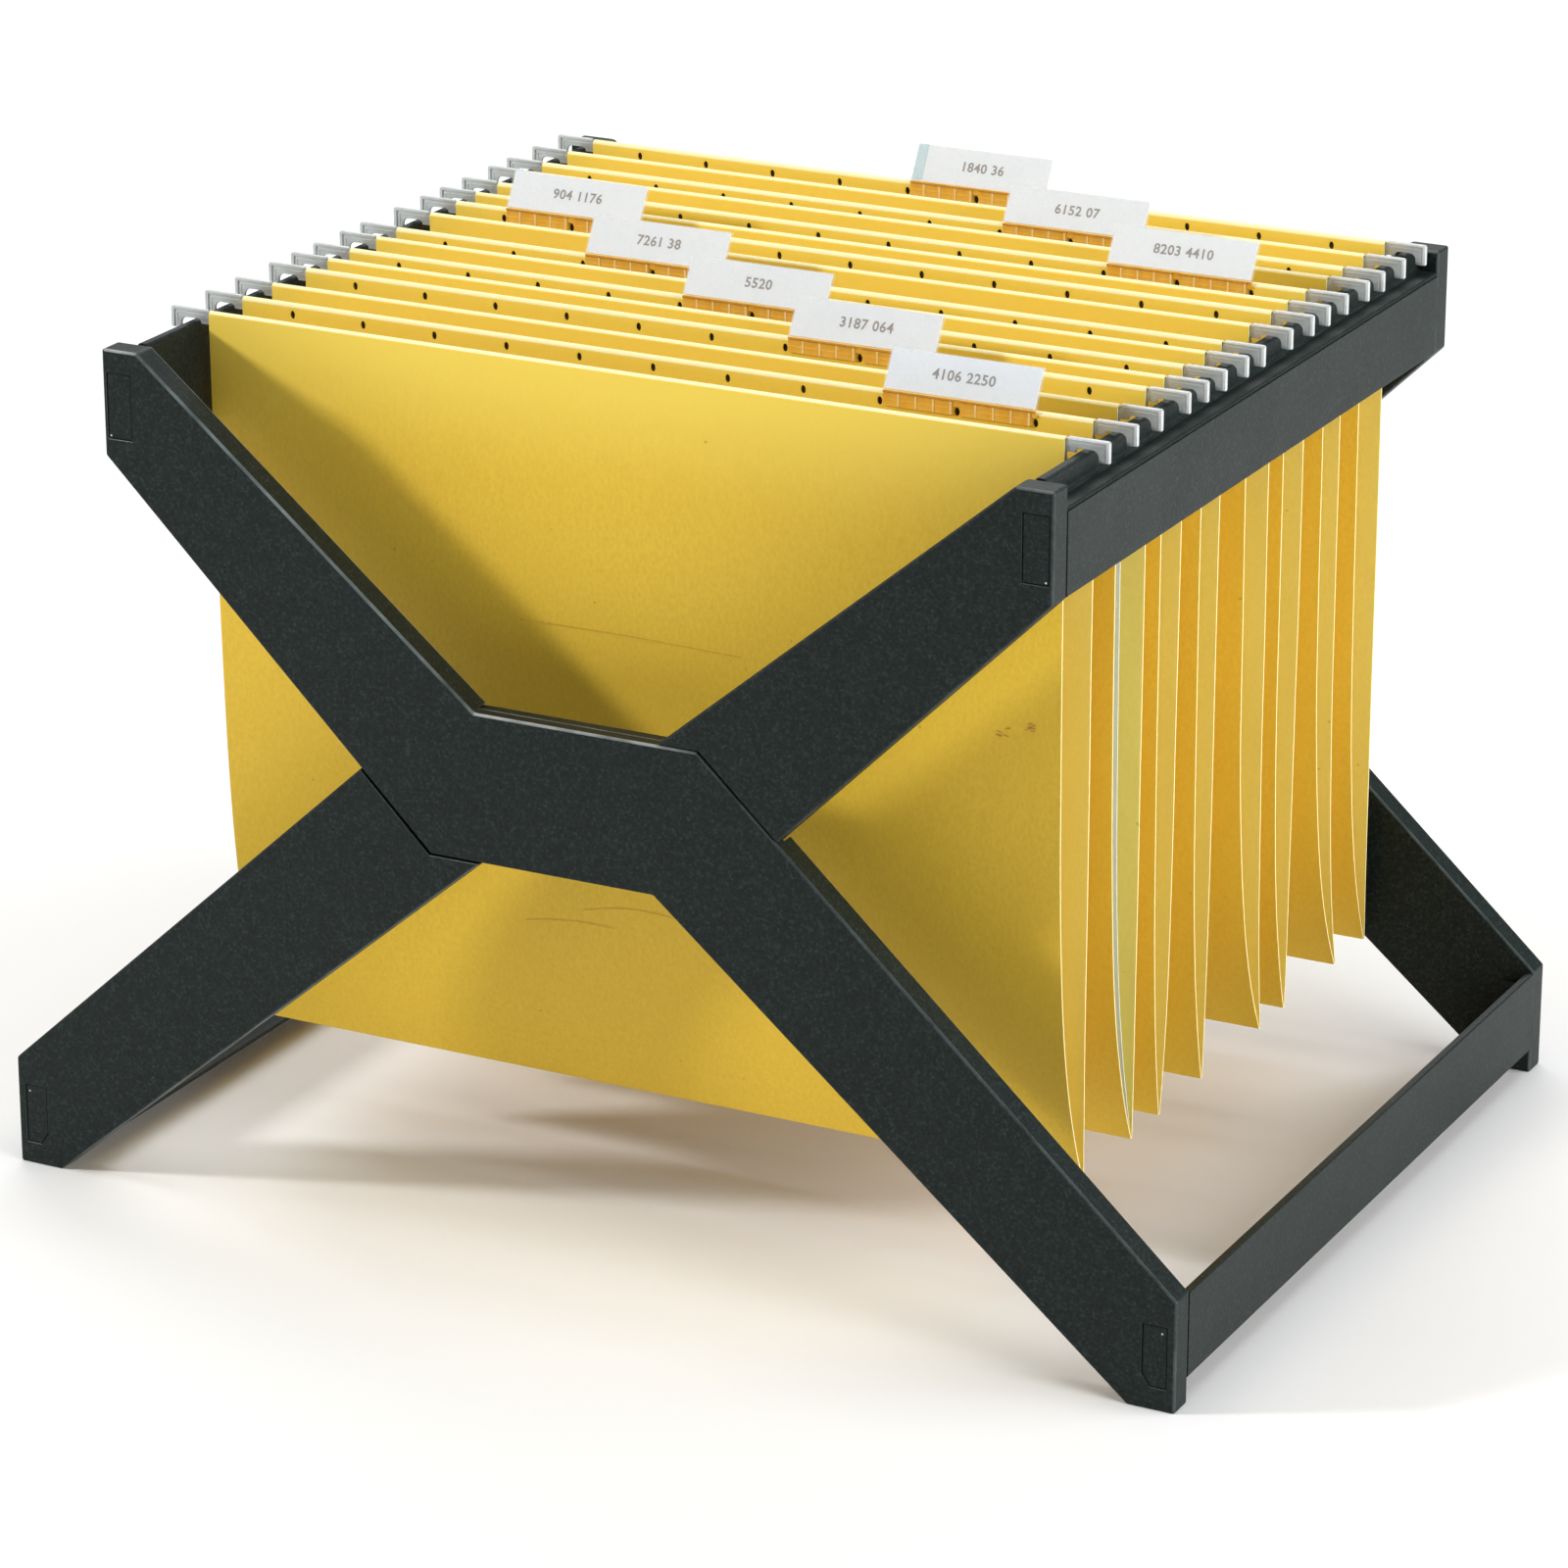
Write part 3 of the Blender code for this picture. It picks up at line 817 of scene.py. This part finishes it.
def make_bar(number, which, bar_y):
    """A bar with its two hooks, each with a rim and a groove on its front and its rear."""
    steel, rim, groove = range(3)
    bm = bmesh.new()
    right = hook_outline()
    outline = right + [(-x, z) for x, z in reversed(right)]
    add_prism(bm, outline, bar_y - BAR_HALF, bar_y + BAR_HALF, "Y", steel, bevel=BAR_EASE)
    # The rims take the bright rim steel, a painted highlight
    root, rim_face, groove_face = 0.3, 0.8, 0.56
    for side in (-1, 1):
        for low, high in ((bar_y - rim_face, bar_y - root), (bar_y + root, bar_y + rim_face)):
            add_prism(bm, [(side * x, z) for x, z in hook_rim()], low, high, "Y", rim, bevel=BAR_EASE)
        for low, high in ((bar_y - groove_face, bar_y - root), (bar_y + root, bar_y + groove_face)):
            add_prism(bm, [(side * x, z) for x, z in hook_groove()], low, high, "Y", groove)
    return new_object(f"file_{number}_{which}_strip", bm, ["steel", "steel_rim_highlight", "groove"], smooth=35)


# ---------------------------------------------------------------- tabs


def lean_point(bar_y, along, front):
    """A point on the leaning leaves: along runs up them, front is towards the reader."""
    y = bar_y - TAB_FACE + along * math.sin(TAB_LEAN) - front * math.cos(TAB_LEAN)
    z = CARD_TOP + 0.1 + along * math.cos(TAB_LEAN) + front * math.sin(TAB_LEAN)
    return (y, z)


def make_tab_base(number, facts):
    """The moulded foot of a tab: a ribbed strip along the hem, notched round the slots it clips in."""
    amber, lit_rib, fold_band = range(3)
    bm = bmesh.new()
    bar_y, middle = facts["rear"], facts["tab"]
    face, back = bar_y - TAB_FACE, bar_y - TAB_BACK
    strip_low, rib_low, band_low, band_high, bridge_low = 303.5, 303.7, 305.5, 305.9, 306.5
    shoulder = [
        (face, CARD_TOP - 0.4),
        lean_point(bar_y, 0.1, 0.5),
        lean_point(bar_y, 0.6, 0.0),
        lean_point(bar_y, 0.3, -0.8),
        (back, CARD_TOP - 0.1),
    ]
    strip = [(face, strip_low)] + shoulder + [(back, strip_low)]
    for low, high in ((TAB_LEFT, -1.25), (1.25, SLOT_PITCH - 1.25)):
        left, right = middle + low, middle + high
        add_prism(bm, strip, left, right, "X", amber)
        # The ribs take the paler rib amber, a painted highlight
        for step in range(1, 5):
            x = left + (high - low) * (step - 0.1) / 4.0
            add_block(bm, (x - 0.45, face - 0.2, rib_low), (x + 0.15, face + 0.1, CARD_TOP - 0.3), lit_rib)
        add_block(bm, (left, face - 0.1, band_low), (right, face + 0.1, band_high), amber)
        # A dark red-brown band along the top fold of the foot
        add_block(bm, (left, face - 0.25, CARD_TOP - 0.45), (right, face + 0.1, CARD_TOP - 0.2), fold_band)
    inset = face + 0.12
    bridge = [(inset, bridge_low)]
    bridge += [(max(y, inset), z) if z < CARD_TOP else (y, z) for y, z in shoulder]
    bridge += [(back, bridge_low)]
    for low, high in ((-1.2, 1.2), (SLOT_PITCH - 1.2, TAB_RIGHT)):
        add_prism(bm, bridge, middle + low, middle + high, "X", amber)
    return new_object(f"file_{number}_tab_base", bm, ["amber", "lit_rib", "fold_band"], smooth=35)


def make_tab_leaf(number, facts):
    """The clear folded leaf that holds the label."""
    bm = bmesh.new()
    bar_y, middle = facts["rear"], facts["tab"]
    near, far = 0.3, 0.75
    outline = [
        lean_point(bar_y, 0.2, far),
        lean_point(bar_y, TAB_LONG, far),
        lean_point(bar_y, TAB_LONG, near),
        lean_point(bar_y, 0.7, near),
        lean_point(bar_y, 0.7, -near),
        lean_point(bar_y, TAB_LONG, -near),
        lean_point(bar_y, TAB_LONG, -far),
        lean_point(bar_y, 0.2, -far),
    ]
    add_prism(bm, outline, middle + TAB_LEFT, middle + TAB_RIGHT, "X")
    return new_object(f"file_{number}_tab_leaf", bm, ["clear"])


def make_label(number, facts):
    """The paper label; the last file's has slipped to the right and bares the pale blue slip behind it."""
    paper, slip = range(2)
    slipped = number == FILES[-1]
    bm = bmesh.new()
    bar_y = facts["rear"]
    left, right = facts["tab"] + TAB_LEFT, facts["tab"] + TAB_RIGHT
    outline = [
        lean_point(bar_y, 0.8, LABEL_HALF),
        lean_point(bar_y, TAB_LONG - 0.25, LABEL_HALF),
        lean_point(bar_y, TAB_LONG - 0.25, -LABEL_HALF),
        lean_point(bar_y, 0.8, -LABEL_HALF),
    ]
    inset = 0.3
    start = 4.4 if slipped else inset
    add_prism(bm, outline, left + start, right - 0.6, "X", paper)
    if slipped:
        add_prism(bm, outline, left + inset, left + start - 0.1, "X", slip)
    return new_object(f"file_{number}_tab_label", bm, ["paper", "slip"])


def make_numerals(number, facts, text):
    """Plain index numbers typed in the middle of the label."""
    curve = bpy.data.curves.new("numerals", "FONT")
    curve.body = text
    curve.size = 4.9 * MM
    curve.space_character = 1.08
    curve.offset = 0.11 * MM
    curve.resolution_u = 3
    curve.align_x = "CENTER"
    curve.align_y = "CENTER"
    maker = add_to_scene("numerals", curve)
    graph = bpy.context.evaluated_depsgraph_get()
    mesh = bpy.data.meshes.new_from_object(maker.evaluated_get(graph))
    bpy.data.objects.remove(maker, do_unlink=True)
    y, z = lean_point(facts["rear"], TAB_LONG * 0.52, LABEL_HALF + 0.04)
    place = Matrix.Translation(Vector((facts["tab"] + 1.0, y, z)) * MM)
    mesh.transform(place @ Matrix.Rotation(math.pi / 2.0 - TAB_LEAN, 4, "X"))
    mesh.materials.clear()
    mesh.materials.append(MATS["ink"])
    return add_to_scene(f"file_{number}_tab_numerals", mesh)


# ---------------------------------------------------------------- marks on the front file


def front_skin(facts, z):
    """Just in front of the first card's outer face, at a height on its middle line."""
    clear = 0.34
    top = facts["front"] - HEM_R
    return top + (facts["fold"] - FOLD_HALF_GAP - top) * hang(panel_share(z)) - CARD / 2.0 - clear


def make_marks(facts):
    """A faint score line, two specks, two fine scratches and two scuffed spots on the front file."""
    score, stain, crease = range(3)
    bm = bmesh.new()
    rng = random.Random(4)

    def stroke(points, width, material):
        rows = []
        for x, z in points:
            y = front_skin(facts, z)
            rows.append([bm.verts.new(Vector((x, y, z + d)) * MM) for d in (-width / 2.0, width / 2.0)])
        for a, b in zip(rows, rows[1:]):
            bm.faces.new((a[0], b[0], b[1], a[1])).material_index = material

    count = 12
    stroke([(-40.0 + 7.0 * i, 217.2 + 0.5 * math.sin(i / 3.0)) for i in range(count + 1)], 0.30, crease)
    for x, z in ((-28.0, 250.5), (30.5, 289.0)):
        stroke([(x, z), (x + 0.9, z + 0.2)], 0.55, crease)
    for low_x, high_x, low_z, bow in ((-43.0, -8.0, 107.0, 1.5), (-20.0, 16.0, 115.0, 2.2)):
        points = []
        for i in range(count + 1):
            z = low_z + bow * math.sin(i / 4.0) + 3.0 * i / count
            points.append((low_x + (high_x - low_x) * i / count, z))
        stroke(points, 0.22, score)
    for x, z in ((137.5, 206.5), (146.5, 209.5)):
        for _ in range(7):
            a, b = x + rng.uniform(-2.2, 2.2), z + rng.uniform(-1.6, 1.6)
            tilt = rng.uniform(-0.7, 0.7)
            stroke([(a, b), (a + 1.0, b + tilt), (a + 1.8, b + tilt * 1.4)], 0.28, stain)
    return new_object("file_1_marks", bm, ["score", "stain", "crease"], closed=False)


# ---------------------------------------------------------------- put together


def dress_rack():
    for name, obj in nodes.items():
        if body_of(obj) == ["rack"]:
            paint(obj, "arm_plastic" if name.startswith("arm") else "plastic")
    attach(make_pips(), "rack")


def bend_at_fold(sheet, body, facts):
    """Share the card between the file's two bodies, across a narrow band at the fold."""
    half_band = 1.2
    fold = Vector((0.0, facts["fold"], FOLD_Z))
    up = Vector((0.0, (facts["front"] + facts["rear"]) / 2.0, CARD_TOP)) - fold
    across = Vector((0.0, up.z, -up.y)).normalized() * half_band
    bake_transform(sheet, f"{body}_front", body, start=(fold - across) * MM, end=(fold + across) * MM)


def stand_in(piece, node, rides):
    """A piece that takes the place of one CAD node and moves with its body."""
    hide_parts(node)
    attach(piece, rides)


def dress_file(number):
    facts = file_facts(number)
    body = f"file_{number}"
    sheet = make_card(number, facts)
    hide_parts(f"{body}_front_panel", f"{body}_rear_panel")
    bend_at_fold(sheet, body, facts)
    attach(make_slot_shade(number, facts), body)
    if number == FILES[0]:
        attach(make_marks(facts), f"{body}_front")
    for which, rides in (("front", f"{body}_front"), ("rear", body)):
        stand_in(make_bar(number, which, facts[which]), f"{body}_{which}_bar", rides)
    stand_in(make_tab_base(number, facts), f"{body}_tab", body)
    leaf = make_tab_leaf(number, facts)
    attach(leaf, body)
    stand_in(make_label(number, facts), f"{body}_label", body)
    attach(make_numerals(number, facts, INDEX_NUMBERS[number - 1]), body)


dress_rack()
paint(nodes["file_2_paper"], "sheet")
for number in FILES:
    dress_file(number)


# ---------------------------------------------------------------- stage, light, camera


# Each light's name, its place, aim and size in metres, its watts and its colour
LIGHTS = (
    ("key", (-2.2, -1.5, 1.35), (0.0, 0.0, 0.2), (0.30, 0.30), 51.0, (1.0, 0.985, 0.96)),
    ("top", (0.0, -0.30, 2.5), (0.0, 0.0, 0.25), (2.6, 1.3), 27.0, (1.0, 1.0, 1.0)),
    ("right_wall", (1.7, 0.10, 0.55), (0.0, 0.10, 0.20), (2.2, 1.8), 49.0, (1.0, 1.0, 1.0)),
    ("backdrop", (-1.6, 3.4, 2.6), (-1.9, 3.6, 0.0), (4.0, 3.0), 150.0, (1.0, 1.0, 1.0)),
)
# In metres, with the lens in millimetres
CAMERA_PLACE = (0.9243, -1.7950, 0.8635)
CAMERA_AIM = (0.0810, -0.1650, 0.1926)
CAMERA_LENS = 139.68
FLOOR_HALF = 9.0


def aimed(name, data, place, aim):
    """A light or a camera, turned to look at a point."""
    obj = add_to_scene(name, data)
    obj.location = place
    obj.rotation_mode = "QUATERNION"
    obj.rotation_quaternion = (Vector(aim) - Vector(place)).to_track_quat("-Z", "Y")
    return obj


def make_floor():
    bm = bmesh.new()
    bmesh.ops.create_grid(bm, x_segments=1, y_segments=1, size=FLOOR_HALF)
    new_object("floor", bm, ["floor"])


def make_world():
    world = bpy.data.worlds.new("studio")
    bpy.context.scene.world = world
    world.use_nodes = True
    background = world.node_tree.nodes["Background"]
    background.inputs["Color"].default_value = (0.92, 0.96, 1.0, 1.0)
    background.inputs["Strength"].default_value = 0.19


def make_light(name, place, aim, size, watts, colour):
    light = bpy.data.lights.new(name, "AREA")
    light.shape = "RECTANGLE"
    light.size, light.size_y = size
    light.energy = watts
    light.color = colour
    aimed(name, light, place, aim)


def make_camera():
    camera = bpy.data.cameras.new("camera")
    camera.sensor_width = 36.0
    camera.lens = CAMERA_LENS
    camera.clip_start = 0.05
    camera.clip_end = 60.0
    bpy.context.scene.camera = aimed("camera", camera, CAMERA_PLACE, CAMERA_AIM)


make_floor()
make_world()
for row in LIGHTS:
    make_light(*row)
make_camera()
bpy.context.scene.view_settings.view_transform = "Standard"
